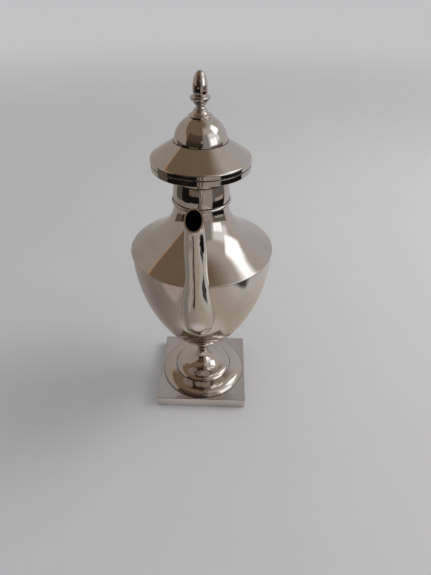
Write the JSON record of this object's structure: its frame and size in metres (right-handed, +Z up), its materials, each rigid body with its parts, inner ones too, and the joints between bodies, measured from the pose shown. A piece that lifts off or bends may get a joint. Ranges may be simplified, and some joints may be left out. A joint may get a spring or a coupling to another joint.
{
  "type": "coffee pot",
  "caption": "Urn-shaped polished metal coffee pot on a square plinth, with a trumpet foot, drop-shaped spout, wooden handle and hinged domed lid with an acorn knob.",
  "frame": {"origin": "middle of the plinth's underside, on the pot's axis", "axes": "+Z up along the pot's axis, spout towards -Y, handle and hinge towards +Y"},
  "size_m": [0.1164, 0.1844, 0.293],
  "materials": {
    "polished_plate": "polished plated metal with faint tarnish",
    "satin_plate": "satin plated metal",
    "dark_wood": "ebonised, waxed",
    "plain_metal": "plain turned metal"
  },
  "bodies": {
    "pot": {"foot": "polished_plate", "stem_collar": "polished_plate", "bowl": "polished_plate", "shoulder": "polished_plate", "neck_ring": "polished_plate", "neck": "polished_plate", "rim_flange": "polished_plate", "spout": "polished_plate", "spout_tip": "polished_plate", "spout_strainer": "polished_plate", "upper_handle_socket": "polished_plate", "lower_handle_socket": "polished_plate", "hinge_pot_leaf": "polished_plate", "plinth": "satin_plate", "base_plate": "satin_plate", "handle": "dark_wood", "handle_pins": "plain_metal", "hinge_pin": "plain_metal", "tie_rod": "plain_metal", "base_washer": "plain_metal", "base_nut": "plain_metal"},
    "lid": {"hinge_lid_leaf": "polished_plate", "lid_brim": "polished_plate", "lid_bezel": "polished_plate", "lid_dome": "polished_plate", "finial_pedestal": "polished_plate", "finial_acorn": "polished_plate", "finial_stud": "plain_metal", "finial_washer": "plain_metal", "finial_nut": "plain_metal"}
  },
  "joints": [
    {"name": "lid_hinge", "type": "hinge", "parent": "pot", "child": "lid", "pos_m": [0, 0.0392, 0.2331], "axis": [-1, 0, 0], "range_deg": [0, 105]}
  ]
}
